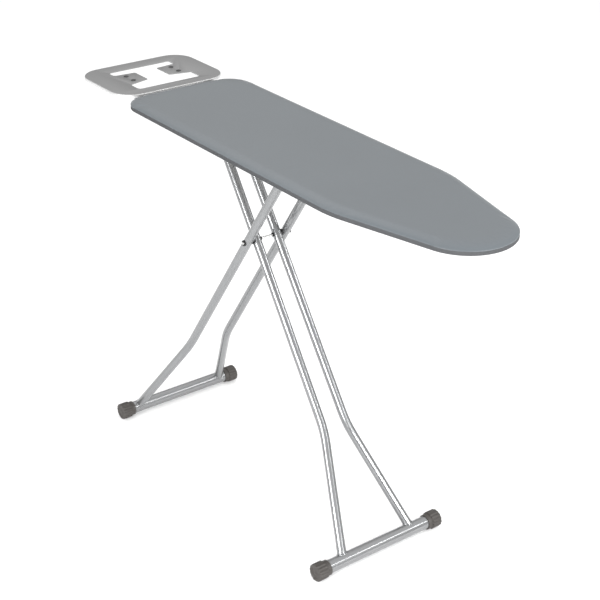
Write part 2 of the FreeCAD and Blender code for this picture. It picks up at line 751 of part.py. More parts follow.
def make_lever_pin():
    pin_z = LEVER_TOP_Z - LEVER_DEPTH / 2
    inner = LEVER_Y + LEVER_T + BRACKET_GAP + SHEET_T
    outer = LEVER_Y - BRACKET_GAP - SHEET_T
    end = outer - (SPRING_TURNS + 2) * SPRING_PITCH
    pin = rod(PIN_R, LEVER_PIVOT_X, pin_z, end, inner)
    head = rod(2 * PIN_R, LEVER_PIVOT_X, pin_z, end - SHEET_T, end)
    save("lever_pin", pin.fuse(head))


def make_lever_spring():
    """A torsion spring on the lever's pin, one tail on the panel and one on the lever."""
    pin_z = LEVER_TOP_Z - LEVER_DEPTH / 2
    start_y = LEVER_Y - BRACKET_GAP - SHEET_T - SPRING_PITCH
    helix = Part.makeHelix(SPRING_PITCH, SPRING_PITCH * SPRING_TURNS, SPRING_R)
    first = vec(SPRING_R, 0, 0)
    profile = Part.Wire(Part.makeCircle(SPRING_WIRE_R, first, Y_AXIS))
    coil = Part.Wire(helix).makePipeShell([profile], True, True)
    tail = Part.makeCylinder(SPRING_WIRE_R, SPRING_TAIL, first, -Y_AXIS)
    coil = coil.fuse(tail)
    coil.rotate(vec(0, 0, 0), X_AXIS, 90)
    coil.translate(vec(LEVER_PIVOT_X, start_y, pin_z))
    save("lever_spring", coil)


def lever_hand_z():
    return LEVER_TOP_Z - LEVER_DEPTH / 2 - SHEET_T / 2


def make_release_lever():
    """A flat steel bar under the rod, bent outwards at its tail into a hand plate."""
    pin_z = LEVER_TOP_Z - LEVER_DEPTH / 2
    y1 = LEVER_Y + LEVER_T
    bar = box(LEVER_TAIL_X, LEVER_BAR_END_X, LEVER_Y, y1, LEVER_TOP_Z - LEVER_DEPTH, LEVER_TOP_Z)
    z = lever_hand_z()
    reach = box(LEVER_TAIL_X - LEVER_HAND_WIDTH, LEVER_TAIL_X, LEVER_HAND_Y, y1, z, z + SHEET_T)
    knuckle = box(
        LEVER_TAIL_X - LEVER_HAND_WIDTH, LEVER_TAIL_X, LEVER_Y, y1, LEVER_TOP_Z - LEVER_DEPTH, LEVER_TOP_Z
    )
    hand = box(LEVER_HAND_X, LEVER_TAIL_X, LEVER_HAND_Y, LEVER_HAND_Y + LEVER_HAND_WIDTH, z, z + SHEET_T)
    lever = bar.fuse(reach).fuse(knuckle).fuse(hand)
    save("release_lever", lever.cut(across(PIN_R + RUNNING_GAP, LEVER_PIVOT_X, pin_z)))


def make_lever_grip():
    """A plastic grip moulded round the hand plate."""
    z = lever_hand_z()
    grip = box(GRIP_X[0], GRIP_X[1], GRIP_Y[0], GRIP_Y[1], z - GRIP_T, z + SHEET_T + GRIP_T)
    upright = [e for e in grip.Edges if e.BoundBox.ZLength > GRIP_T]
    grip = grip.makeFillet(GRIP_ROUND, upright)
    hand = box(LEVER_HAND_X, LEVER_TAIL_X, LEVER_HAND_Y, LEVER_HAND_Y + LEVER_HAND_WIDTH, z, z + SHEET_T)
    reach = box(LEVER_TAIL_X - LEVER_HAND_WIDTH, LEVER_TAIL_X, LEVER_HAND_Y, LEVER_Y, z, z + SHEET_T)
    save("lever_grip", grip.cut(hand).cut(reach))


make_cover()
make_pad()
make_board_panel()
make_stiffener("rear")
make_stiffener("front")
make_rest_plate()
make_rest_pads()
make_rest_arms()
make_rest_bolts()
make_inner_legs()
make_outer_legs()
make_foot("inner", INNER_SLOPE)
make_foot("outer", OUTER_SLOPE)
make_axle()
make_axle_saddles()
make_axle_spacers()
make_axle_collars()
make_hinge_bracket()
make_hinge_rod()
make_hinge_rod_nuts()
make_hinge_rivets()
make_slide_rails()
make_slide_rod()
make_slide_rod_nuts()
make_slide_glides()
make_height_rack()
make_lever_bracket()
make_lever_pin()
make_lever_spring()
make_release_lever()
make_lever_grip()
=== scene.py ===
import bpy
import math
from mathutils import Matrix, Vector, noise


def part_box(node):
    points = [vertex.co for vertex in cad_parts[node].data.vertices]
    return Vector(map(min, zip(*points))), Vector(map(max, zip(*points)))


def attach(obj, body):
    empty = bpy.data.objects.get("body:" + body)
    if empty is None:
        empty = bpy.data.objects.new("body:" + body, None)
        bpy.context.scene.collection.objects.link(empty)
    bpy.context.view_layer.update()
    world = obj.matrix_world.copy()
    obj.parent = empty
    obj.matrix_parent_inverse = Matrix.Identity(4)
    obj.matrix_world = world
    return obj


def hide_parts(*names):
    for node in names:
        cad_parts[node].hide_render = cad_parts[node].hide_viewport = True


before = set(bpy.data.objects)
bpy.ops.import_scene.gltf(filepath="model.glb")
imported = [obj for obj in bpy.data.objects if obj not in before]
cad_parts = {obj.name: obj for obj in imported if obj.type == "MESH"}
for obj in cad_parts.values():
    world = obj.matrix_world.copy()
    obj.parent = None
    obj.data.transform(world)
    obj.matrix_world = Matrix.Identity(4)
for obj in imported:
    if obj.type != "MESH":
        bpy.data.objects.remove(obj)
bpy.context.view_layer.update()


# ==== Studio ====
# A pale floor under the board, clear when seen from below, a pale surround, and large soft
# lights. The camera stands in front of the nose, on the right-hand side, looking down.

FLOOR_SIZE = 60.0
FLOOR_COLOUR = (0.97, 0.97, 0.97)
SURROUND_LOW = 0.35
SURROUND_HIGH = 1.32
CAMERA_PLACE = (2.3776, -1.7651, 2.0230)
CAMERA_DOWN = 27.14
CAMERA_HEADING = 142.82
CAMERA_ROLL = 0.673
CAMERA_LENS = 85.9


def select_only(*pieces):
    """Deselects everything, then selects the pieces and makes the first one active."""
    bpy.ops.object.select_all(action="DESELECT")
    for piece in pieces:
        piece.select_set(True)
    bpy.context.view_layer.objects.active = pieces[0]


def new_material(name, colour, roughness, metallic=0.0):
    """A material with a Principled shader, and the shader's node."""
    material = bpy.data.materials.new(name)
    material.use_nodes = True
    shader = material.node_tree.nodes["Principled BSDF"]
    shader.inputs["Base Color"].default_value = (*colour, 1.0)
    shader.inputs["Roughness"].default_value = roughness
    shader.inputs["Metallic"].default_value = metallic
    return material, shader


select_only(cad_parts["cover"])
bpy.ops.mesh.primitive_plane_add(size=FLOOR_SIZE, location=(0, 0, 0))
floor = bpy.context.object
floor.name = "studio_floor"
floor_paint, floor_shader = new_material("studio_floor_paint", FLOOR_COLOUR, 0.9)
floor.data.materials.append(floor_paint)
floor_tree = floor_paint.node_tree
floor_side = floor_tree.nodes.new("ShaderNodeNewGeometry")
floor_clear = floor_tree.nodes.new("ShaderNodeBsdfTransparent")
floor_mix = floor_tree.nodes.new("ShaderNodeMixShader")
floor_tree.links.new(floor_side.outputs["Backfacing"], floor_mix.inputs[0])
floor_tree.links.new(floor_shader.outputs[0], floor_mix.inputs[1])
floor_tree.links.new(floor_clear.outputs[0], floor_mix.inputs[2])
floor_tree.links.new(floor_mix.outputs[0], floor_tree.nodes["Material Output"].inputs["Surface"])

surround = bpy.data.worlds.new("studio_surround")
bpy.context.scene.world = surround
surround.use_nodes = True
surround_light = surround.node_tree.nodes["Background"]
surround_light.inputs["Color"].default_value = (1.0, 1.0, 1.0, 1.0)
sky_place = surround.node_tree.nodes.new("ShaderNodeTexCoord")
sky_axes = surround.node_tree.nodes.new("ShaderNodeSeparateXYZ")
sky_height = surround.node_tree.nodes.new("ShaderNodeMapRange")
surround.node_tree.links.new(sky_place.outputs["Generated"], sky_axes.inputs[0])
surround.node_tree.links.new(sky_axes.outputs["Z"], sky_height.inputs["Value"])
sky_height.inputs["To Min"].default_value = SURROUND_LOW
sky_height.inputs["To Max"].default_value = SURROUND_HIGH
surround.node_tree.links.new(sky_height.outputs[0], surround_light.inputs["Strength"])
bpy.context.scene.view_settings.view_transform = "Standard"


def softbox(name, place, target, width, height, power):
    """A large area light turned to face its target."""
    lamp = bpy.data.lights.new(name, "AREA")
    lamp.shape = "RECTANGLE"
    lamp.size = width
    lamp.size_y = height
    lamp.energy = power
    box = bpy.data.objects.new(name, lamp)
    bpy.context.scene.collection.objects.link(box)
    box.location = place
    box.rotation_euler = (Vector(target) - Vector(place)).to_track_quat("-Z", "Y").to_euler()


softbox("back_softbox", (-2.3, 0.6, 3.4), (0, 0, 0.8), 2.2, 1.4, 10.0)
softbox("side_strip", (1.25, -2.9, 1.3), (0, 0, 0.85), 2.6, 0.45, 105.0)
softbox("nose_strip", (3.3, 0.3, 1.3), (0.4, 0, 0.9), 2.0, 0.3, 75.0)
softbox("far_strip", (1.7, 1.7, 1.7), (-0.2, 0, 0), 2.2, 0.13, 17.0)

view_camera = bpy.data.cameras.new("view_camera")
view_camera.lens = CAMERA_LENS
view_camera.clip_end = 100.0
camera = bpy.data.objects.new("view_camera", view_camera)
bpy.context.scene.collection.objects.link(camera)
camera.matrix_world = (
    Matrix.Translation(CAMERA_PLACE)
    @ Matrix.Rotation(math.radians(CAMERA_HEADING - 90), 4, "Z")
    @ Matrix.Rotation(math.radians(90 - CAMERA_DOWN), 4, "X")
    @ Matrix.Rotation(math.radians(CAMERA_ROLL), 4, "Z")
)
bpy.context.scene.camera = camera


# ==== Fabric cover ====
# A cotton cover, cut larger than the board and drawn tight over the felt by its elastic hem.
# It is flat on top, rolls softly over the edge, and its hem is gathered under the rim.

NOSE_R = 0.1076
SHOULDER_X = 0.3556
SHOULDER_R = 0.272
BACK_CORNER_R = 0.064
COVER_STEPS = 520
COVER_THICKNESS = 0.0009
CROWN_WIDTH = 0.030
CROWN_RISE = 0.0024
CROWN_DROP = 0.0062
CROWN_RINGS = 13
CORNER_R = 0.0013
CORNER_RINGS = 4
INNER_RINGS = 14
SIDE_RINGS = 5
HEM_WIDTH = 0.034
HEM_RINGS = 14
GATHER_PITCH = 0.0125
GATHER_HEIGHT = 0.0026
ARM_BAND = (0.086, 0.120)
CLOTH_FRAMES = 14
CLOTH_PRESSURE = 2.5
CLOTH_CAP = 0.0012

cover_low, cover_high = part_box("cover")


def board_runs():
    """The left half of the outline, from the nose round to the back: the arcs and the lines.
    Each is (start or centre, radius, first angle out, turn, length); a line has no radius."""
    nose = Vector((cover_high.x - NOSE_R, 0))
    reach = nose.x - SHOULDER_X
    taper = math.atan2(cover_high.y, reach) - math.asin(NOSE_R / math.hypot(reach, cover_high.y))
    shoulder = Vector((SHOULDER_X - SHOULDER_R * math.tan(taper / 2), cover_high.y - SHOULDER_R))
    corner = Vector((cover_low.x + BACK_CORNER_R, cover_high.y - BACK_CORNER_R))
    quarter = math.pi / 2
    out = Vector((math.sin(taper), math.cos(taper)))
    taper_start = nose + out * NOSE_R
    taper_end = shoulder + out * SHOULDER_R
    side_start = shoulder + Vector((0, SHOULDER_R))
    side_end = corner + Vector((0, BACK_CORNER_R))
    back_start = corner - Vector((BACK_CORNER_R, 0))
    return [
        (nose, NOSE_R, 0.0, quarter - taper, NOSE_R * (quarter - taper)),
        (taper_start, 0.0, quarter - taper, 0.0, (taper_end - taper_start).length),
        (shoulder, SHOULDER_R, quarter - taper, taper, SHOULDER_R * taper),
        (side_start, 0.0, quarter, 0.0, (side_end - side_start).length),
        (corner, BACK_CORNER_R, quarter, quarter, BACK_CORNER_R * quarter),
        (back_start, 0.0, math.pi, 0.0, back_start.y),
    ]


BOARD_RUNS = board_runs()
HALF_ROUND = sum(run[4] for run in BOARD_RUNS)


def board_edge(share):
    """A point on the board's outline, that share of the way round from the nose, and the way out."""
    left = share <= 0.5
    distance = (share if left else 1 - share) * 2 * HALF_ROUND
    for start, radius, first, turn, length in BOARD_RUNS:
        if distance <= length or start is BOARD_RUNS[-1][0]:
            break
        distance -= length
    angle = first + (turn * distance / length if radius else 0.0)
    out = Vector((math.cos(angle), math.sin(angle)))
    along = Vector((-math.sin(angle), math.cos(angle)))
    point = start + out * radius if radius else start + along * distance
    side = 1 if left else -1
    return Vector((point.x, side * point.y)), Vector((out.x, side * out.y))


def ring_point(share, inset, z):
    edge, out = board_edge(share)
    return Vector((edge.x - out.x * inset, edge.y - out.y * inset, z))


def middle_of(point):
    """The nearest point on the board's own middle line."""
    x = min(max(point.x, cover_low.x + 0.15), cover_high.x - NOSE_R)
    return Vector((x, 0, point.z))


def wrap_grid(name, rings, steps, shaping=None):
    """A grid wrapped round the board. A ring is (inset, z, flat inset, share out from the middle)."""
    bpy.ops.object.select_all(action="DESELECT")
    bpy.ops.mesh.primitive_grid_add(x_subdivisions=steps, y_subdivisions=len(rings) - 1, size=1)
    piece = bpy.context.object
    piece.name = name
    mesh = piece.data
    flat = []
    for vertex in mesh.vertices:
        step, ring = vertex.index % (steps + 1), vertex.index // (steps + 1)
        inset, z, flat_inset, out_share = rings[ring]
        point = ring_point(step / steps, inset, z)
        point = middle_of(point).lerp(point, out_share)
        if shaping:
            point = shaping(point, step / steps, ring)
        vertex.co = point
        on_cut = ring_point(step / steps, flat_inset, 0)
        on_cut = middle_of(on_cut).lerp(on_cut, out_share)
        flat.append((on_cut.x, on_cut.y))
    for loop in mesh.loops:
        mesh.uv_layers[0].data[loop.index].uv = flat[loop.vertex_index]
    select_only(piece)
    bpy.ops.object.mode_set(mode="EDIT")
    bpy.ops.mesh.select_all(action="SELECT")
    bpy.ops.mesh.remove_doubles(threshold=0.00002)
    bpy.ops.mesh.normals_make_consistent(inside=False)
    bpy.ops.object.mode_set(mode="OBJECT")
    bpy.ops.object.shade_smooth()
    return piece


def apply_all(piece):
    """Applies each of a piece's modifiers, in their order."""
    select_only(piece)
    for modifier in list(piece.modifiers):
        bpy.ops.object.modifier_apply(modifier=modifier.name)


def cover_section():
    """The cover's section as (inset, z), from the flat top, over its crown and corner, to the hem's end."""
    crown_top = cover_high.z + CROWN_RISE
    corner_z = crown_top - CROWN_DROP - CORNER_R
    section = []
    for i in range(CROWN_RINGS + 1):
        share = i / CROWN_RINGS
        inset = CROWN_WIDTH + (CORNER_R * 0.8 - CROWN_WIDTH) * share
        section.append((inset, crown_top - CROWN_DROP * share ** 2.0))
    for i in range(1, CORNER_RINGS + 1):
        swing = math.pi / 2 * i / CORNER_RINGS
        section.append((CORNER_R * 0.8 * (1 - math.sin(swing)), corner_z + CORNER_R * math.cos(swing)))
    foot_z = cover_low.z + 0.0012
    for i in range(1, SIDE_RINGS + 1):
        share = i / SIDE_RINGS
        section.append((0.0005 * math.sin(math.pi * share), corner_z + (foot_z - corner_z) * share))
    section.append((0.0005, cover_low.z + 0.0004))
    section.append((0.0016, cover_low.z))
    for i in range(1, HEM_RINGS + 1):
        section.append((0.0016 + (HEM_WIDTH - 0.0016) * i / HEM_RINGS, cover_low.z))
    return section


def cover_rings():
    section = cover_section()
    first_inset, top = section[0]
    rings = [(first_inset, top, first_inset, i / INNER_RINGS) for i in range(INNER_RINGS)]
    run = 0.0
    last = section[0]
    for inset, z in section:
        run += math.dist((inset, z), last)
        last = (inset, z)
        rings.append((inset, z, first_inset - run, 1.0))
    return rings


COVER_RINGS = cover_rings()
HEM_START = len(COVER_RINGS) - HEM_RINGS


def gathered(point, share, ring):
    """Draws the hem into the soft, uneven puckers that its elastic makes, but not where the arms press."""
    if ring < HEM_START:
        return point
    drawn = (ring - HEM_START + 1) / HEM_RINGS
    around = share * 2 * HALF_ROUND
    wander = noise.noise(Vector((around * 9.0, 0.3, 0.0))) * 3.0
    wave = math.sin(around / GATHER_PITCH * 2 * math.pi + wander)
    size = 0.65 + 0.5 * noise.noise(Vector((around * 23.0, 1.7, 0.0)))
    pressed = ARM_BAND[0] < abs(point.y) < ARM_BAND[1] and point.x < -0.36
    if pressed:
        size = 0.0
    fall = GATHER_HEIGHT * drawn ** 1.3 * size * (0.5 + 0.5 * wave)
    sway = 0.0012 * drawn * size * math.cos(around / GATHER_PITCH * 2 * math.pi + wander)
    edge, out = board_edge(share)
    return point + Vector((-out.y * sway, out.x * sway, -fall))


def swell(piece, is_held, pressure, frames, cap):
    """Lets cloth simulation fill a piece out, with its held points still, and caps how far it goes."""
    rest = [vertex.co.copy() for vertex in piece.data.vertices]
    held = piece.vertex_groups.new(name="held")
    held.add([vertex.index for vertex in piece.data.vertices if is_held(vertex.co)], 1.0, "REPLACE")
    cloth = piece.modifiers.new("cloth", "CLOTH")
    cloth.settings.quality = 4
    cloth.settings.vertex_group_mass = "held"
    cloth.settings.use_pressure = True
    cloth.settings.uniform_pressure_force = pressure
    cloth.settings.tension_stiffness = 30.0
    cloth.settings.compression_stiffness = 30.0
    cloth.settings.bending_stiffness = 2.0
    cloth.settings.effector_weights.gravity = 0.0
    for step in range(1, frames + 1):
        bpy.context.scene.frame_set(step)
    apply_all(piece)
    bpy.context.scene.frame_set(1)
    for vertex, start in zip(piece.data.vertices, rest):
        move = vertex.co - start
        if move.length > 0:
            vertex.co = start + move.normalized() * cap * math.tanh(move.length / cap)
    piece.vertex_groups.clear()


cover_piece = wrap_grid("fabric_cover", COVER_RINGS, COVER_STEPS, gathered)
swell(cover_piece, lambda at: at.z < cover_low.z + 0.003, CLOTH_PRESSURE, CLOTH_FRAMES, CLOTH_CAP)
thickness = cover_piece.modifiers.new("thickness", "SOLIDIFY")
thickness.thickness = COVER_THICKNESS
thickness.offset = -1.0
apply_all(cover_piece)
bpy.ops.object.shade_smooth()
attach(cover_piece, "board")
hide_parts("cover")

THREAD_PITCH = 0.00062
BAND_THREAD_PITCH = 0.0009
# The side band and the hem take a darker cloth than the top: painted shade on the cover's side.
BAND_PAINTED_SHADE_COLOUR = (0.066, 0.068, 0.072)
BAND_GAP_PAINTED_SHADE = (0.046, 0.048, 0.051)
CLOTH_COLOUR = (0.102, 0.119, 0.132)
# The gap colour darkens the weave's low places: painted shade between the threads.
CLOTH_GAP_PAINTED_SHADE = (0.080, 0.093, 0.103)


def group_with(name, takes, gives):
    """A node group with named inputs (name, kind, value) and outputs, and its two end nodes."""
    group = bpy.data.node_groups.new(name, "ShaderNodeTree")
    for label, kind, value in takes:
        socket = group.interface.new_socket(name=label, in_out="INPUT", socket_type=kind)
        if value is not None:
            socket.default_value = value
    for label, kind in gives:
        group.interface.new_socket(name=label, in_out="OUTPUT", socket_type=kind)
    return group, group.nodes.new("NodeGroupInput"), group.nodes.new("NodeGroupOutput")


def put(tree, kind, **settings):
    """Adds a node to a tree and sets its options and its unlinked inputs by name."""
    node = tree.nodes.new(kind)
    for label, value in settings.items():
        if hasattr(node, label):
            setattr(node, label, value)
        else:
            node.inputs[label.replace("_", " ")].default_value = value
    return node


def maths(tree, operation, first, second=None, third=None):
    """A Math node on sockets or numbers; gives its output socket."""
    node = tree.nodes.new("ShaderNodeMath")
    node.operation = operation
    for slot, value in enumerate((first, second, third)):
        if isinstance(value, bpy.types.NodeSocket):
            tree.links.new(value, node.inputs[slot])
        elif value is not None:
            node.inputs[slot].default_value = value
    return node.outputs[0]


def mix_colour(tree, share, first, second, blend="MIX"):
    """A colour Mix node on sockets or colours; gives its output socket."""
    node = tree.nodes.new("ShaderNodeMix")
    node.data_type = "RGBA"
    node.blend_type = blend
    for slot, value in ((0, share), (6, first), (7, second)):
        if isinstance(value, bpy.types.NodeSocket):
            tree.links.new(value, node.inputs[slot])
        elif isinstance(value, tuple):
            node.inputs[slot].default_value = (*value, 1.0)
        else:
            node.inputs[slot].default_value = value
    return node.outputs[2]


def weave_group():
    """Plain weave: warp and weft threads that pass over and under each other, a little uneven."""
    group, takes, gives = group_with(
        "plain_weave",
        [
            ("Vector", "NodeSocketVector", None),
            ("Threads per metre", "NodeSocketFloat", 1600.0),
            ("Thread colour", "NodeSocketColor", None),
            ("Gap colour", "NodeSocketColor", None),
            ("Smoothest", "NodeSocketFloat", 0.7),
        ],
        [("Color", "NodeSocketColor"), ("Roughness", "NodeSocketFloat"), ("Height", "NodeSocketFloat")],
    )
    waver = put(group, "ShaderNodeTexNoise", noise_dimensions="3D", Scale=90.0, Detail=2.0)
    group.links.new(takes.outputs["Vector"], waver.inputs["Vector"])
    drift = put(group, "ShaderNodeVectorMath", operation="SCALE", Scale=0.0004)
    group.links.new(waver.outputs["Color"], drift.inputs[0])
    moved = put(group, "ShaderNodeVectorMath", operation="ADD")
    group.links.new(takes.outputs["Vector"], moved.inputs[0])
    group.links.new(drift.outputs[0], moved.inputs[1])
    scaled = put(group, "ShaderNodeVectorMath", operation="SCALE")
    group.links.new(moved.outputs[0], scaled.inputs[0])
    group.links.new(takes.outputs["Threads per metre"], scaled.inputs["Scale"])
    axes = put(group, "ShaderNodeSeparateXYZ")
    group.links.new(scaled.outputs[0], axes.inputs[0])
    across, along = axes.outputs["X"], axes.outputs["Y"]
    warp = maths(group, "ABSOLUTE", maths(group, "SINE", maths(group, "MULTIPLY", across, math.pi)))
    weft = maths(group, "ABSOLUTE", maths(group, "SINE", maths(group, "MULTIPLY", along, math.pi)))
    turn = maths(group, "ADD", maths(group, "FLOOR", across), maths(group, "FLOOR", along))
    over = maths(group, "PINGPONG", turn, 1.0)
    warp_top = maths(group, "MULTIPLY", warp, maths(group, "MULTIPLY_ADD", over, 0.35, 0.65))
    under = maths(group, "SUBTRACT", 1.0, over)
    weft_top = maths(group, "MULTIPLY", weft, maths(group, "MULTIPLY_ADD", under, 0.35, 0.65))
    height = maths(group, "MAXIMUM", warp_top, weft_top)
    slubs = put(group, "ShaderNodeTexNoise", Scale=420.0, Detail=3.0, Roughness=0.6)
    group.links.new(takes.outputs["Vector"], slubs.inputs["Vector"])
    clouds = put(group, "ShaderNodeTexNoise", Scale=6.0, Detail=4.0, Roughness=0.5)
    group.links.new(takes.outputs["Vector"], clouds.inputs["Vector"])
    # The low places between threads take the darker gap colour: painted shade in the weave's hollows.
    fill = maths(group, "MULTIPLY_ADD", slubs.outputs["Fac"], 0.35, maths(group, "MULTIPLY", height, 0.75))
    colour = mix_colour(group, fill, takes.outputs["Gap colour"], takes.outputs["Thread colour"])
    cloudy = maths(group, "MULTIPLY_ADD", clouds.outputs["Fac"], 0.12, 0.94)
    shade = put(group, "ShaderNodeCombineColor")
    for channel in range(3):
        group.links.new(cloudy, shade.inputs[channel])
    colour = mix_colour(group, 1.0, colour, shade.outputs[0], "MULTIPLY")
    group.links.new(colour, gives.inputs["Color"])
    rough = maths(group, "MULTIPLY_ADD", slubs.outputs["Fac"], 0.12, takes.outputs["Smoothest"])
    group.links.new(rough, gives.inputs["Roughness"])
    group.links.new(height, gives.inputs["Height"])
    return group


WEAVE = weave_group()


def place_group(material, group, **values):
    """Puts a node group into a material and sets its inputs; spaces are written as underscores."""
    node = material.node_tree.nodes.new("ShaderNodeGroup")
    node.node_tree = group
    for label, value in values.items():
        if isinstance(value, tuple) and len(value) == 3:
            value = (*value, 1.0)
        node.inputs[label.replace("_", " ")].default_value = value
    return node


def finish_surface(material, shader, source, strength, distance):
    """Joins a group's colour, roughness and height to the shader."""
    tree = material.node_tree
    tree.links.new(source.outputs["Color"], shader.inputs["Base Color"])
    tree.links.new(source.outputs["Roughness"], shader.inputs["Roughness"])
    bump = put(tree, "ShaderNodeBump", Strength=strength, Distance=distance)
    tree.links.new(source.outputs["Height"], bump.inputs["Height"])
    tree.links.new(bump.outputs["Normal"], shader.inputs["Normal"])


cover_cloth, cloth_shader = new_material("grey_cotton", CLOTH_COLOUR, 0.85)
cloth_shader.inputs["Sheen Weight"].default_value = 0.12
cloth_shader.inputs["Sheen Roughness"].default_value = 0.5
cloth_shader.inputs["Specular IOR Level"].default_value = 0.6
cloth_map = put(cover_cloth.node_tree, "ShaderNodeUVMap", uv_map=cover_piece.data.uv_layers[0].name)
cloth_weave = place_group(
    cover_cloth, WEAVE, Threads_per_metre=1 / THREAD_PITCH,
    Thread_colour=CLOTH_COLOUR, Gap_colour=CLOTH_GAP_PAINTED_SHADE, Smoothest=0.3,
)
cover_cloth.node_tree.links.new(cloth_map.outputs["UV"], cloth_weave.inputs["Vector"])
finish_surface(cover_cloth, cloth_shader, cloth_weave, 0.12, 0.0002)
cover_piece.data.materials.append(cover_cloth)

# A darker cloth for the cover's side band, standing in for the shade that falls on it: painted shade.
band_painted_shade_cloth, band_painted_shade_shader = new_material("side_band_painted_shade", BAND_PAINTED_SHADE_COLOUR, 0.8)
band_painted_shade_shader.inputs["Specular IOR Level"].default_value = 0.3
band_uv_map = put(band_painted_shade_cloth.node_tree, "ShaderNodeUVMap", uv_map=cover_piece.data.uv_layers[0].name)
band_weave = place_group(
    band_painted_shade_cloth, WEAVE, Threads_per_metre=1 / BAND_THREAD_PITCH, Thread_colour=BAND_PAINTED_SHADE_COLOUR, Gap_colour=BAND_GAP_PAINTED_SHADE
)
band_painted_shade_cloth.node_tree.links.new(band_uv_map.outputs["UV"], band_weave.inputs["Vector"])
finish_surface(band_painted_shade_cloth, band_painted_shade_shader, band_weave, 0.5, 0.0003)
cover_piece.data.materials.append(band_painted_shade_cloth)
# Faces below the crown's corner take the darker cloth: painted shade on the side band.
for face in cover_piece.data.polygons:
    if face.center.z < cover_high.z + CROWN_RISE - CROWN_DROP - CORNER_R:
        face.material_index = 1


# ==== Hem casing ====
# The folded edge of the cover under the board, with the elastic running inside it.
# It is stitched by machine with one row of grey thread.

CASING_R = 0.0024
STITCH_PITCH = 0.0042
STITCH_LENGTH = 0.0028
STITCH_R = 0.00035
STITCH_INSET = 0.0052
CASING_STEPS = 700


def hem_point(share, inset, lift):
    """A point on the gathered hem, at an inset from the board's edge."""
    ring = HEM_START + HEM_RINGS * min(inset / HEM_WIDTH, 1.0) - 1
    return gathered(ring_point(share, inset, cover_low.z + lift), share, ring)


def tube_along(name, points, radius, sides, closed=True):
    """A round tube of mesh along a list of points."""
    line = bpy.data.curves.new(name, "CURVE")
    line.dimensions = "3D"
    line.bevel_depth = radius
    line.bevel_resolution = sides
    spline = line.splines.new("POLY")
    spline.points.add(len(points) - 1)
    for at, point in zip(spline.points, points):
        at.co = (*point, 1.0)
    spline.use_cyclic_u = closed
    line.use_fill_caps = not closed
    piece = bpy.data.objects.new(name, line)
    bpy.context.scene.collection.objects.link(piece)
    select_only(piece)
    bpy.ops.object.convert(target="MESH")
    piece = bpy.context.object
    bpy.ops.object.shade_smooth()
    return piece


casing = tube_along(
    "hem_casing", [hem_point(i / CASING_STEPS, HEM_WIDTH, -0.0002) for i in range(CASING_STEPS)], CASING_R, 2
)
# The casing takes the same darkened cloth that carries the side band's painted shade.
casing.data.materials.append(band_painted_shade_cloth)
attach(casing, "board")

stitch_count = int(2 * HALF_ROUND / STITCH_PITCH)
select_only(casing)
bpy.ops.mesh.primitive_cylinder_add(vertices=6, radius=STITCH_R, depth=STITCH_LENGTH, location=(0, 0, 0))
one_stitch = bpy.context.object
stitches = []
for i in range(stitch_count):
    share = i / stitch_count
    inset = HEM_WIDTH - STITCH_INSET
    at = hem_point(share, inset, -0.0003)
    ahead = hem_point((share + 0.0004) % 1.0, inset, -0.0003) - at
    turn = ahead.to_track_quat("Z", "Y").to_matrix().to_4x4()
    copy = one_stitch.copy()
    copy.data = one_stitch.data.copy()
    copy.data.transform(Matrix.Translation(at) @ turn)
    bpy.context.scene.collection.objects.link(copy)
    stitches.append(copy)
select_only(*stitches)
bpy.ops.object.join()
stitching = bpy.context.object
stitching.name = "hem_stitching"
bpy.data.objects.remove(one_stitch)
thread, thread_shader = new_material("grey_thread", (0.19, 0.2, 0.21), 0.7)
thread_twist = put(thread.node_tree, "ShaderNodeTexWave", Scale=900.0, Distortion=1.0)
thread_place = put(thread.node_tree, "ShaderNodeTexCoord")
thread.node_tree.links.new(thread_place.outputs["Object"], thread_twist.inputs["Vector"])
thread_bump = put(thread.node_tree, "ShaderNodeBump", Strength=0.4, Distance=0.0001)
thread.node_tree.links.new(thread_twist.outputs["Fac"], thread_bump.inputs["Height"])
thread.node_tree.links.new(thread_bump.outputs["Normal"], thread_shader.inputs["Normal"])
stitching.data.materials.append(thread)
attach(stitching, "board")


# ==== Felt pad ====
# Needle-punched felt, 4 mm thick, cut to the panel's outline and laid loose on it.
# The cover presses it thinner at its edge. It shows only through the holes of the panel, from below.

PAD_STEPS = 260
PAD_RINGS = 10
PAD_INSET = 0.0028
PRESSED_EDGE = 0.018
PRESSED_BY = 0.0024
FELT_COLOUR = (0.62, 0.6, 0.55)
FELT_SHADE = (0.42, 0.41, 0.38)

pad_low, pad_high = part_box("pad")


def pad_rings():
    rings = []
    for i in range(PAD_RINGS):
        rings.append((PAD_INSET, pad_low.z, PAD_INSET, i / PAD_RINGS))
    rings.append((PAD_INSET, pad_low.z, PAD_INSET, 1.0))
    rings.append((PAD_INSET + 0.0004, pad_low.z + 0.001, PAD_INSET, 1.0))
    rings.append((PAD_INSET + 0.005, pad_high.z - PRESSED_BY, PAD_INSET + 0.005, 1.0))
    for i in range(PAD_RINGS + 1):
        inset = PAD_INSET + PRESSED_EDGE
        rings.append((inset, pad_high.z - 0.0006, inset, 1 - i / PAD_RINGS))
    return rings


def felted(point, share, ring):
    lump = noise.noise(point * 60.0) * 0.00025
    return point + Vector((0, 0, lump if point.z > pad_high.z - PRESSED_BY / 2 else 0.0))


felt_pad = wrap_grid("felt_pad", pad_rings(), PAD_STEPS, felted)
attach(felt_pad, "board")
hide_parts("pad")


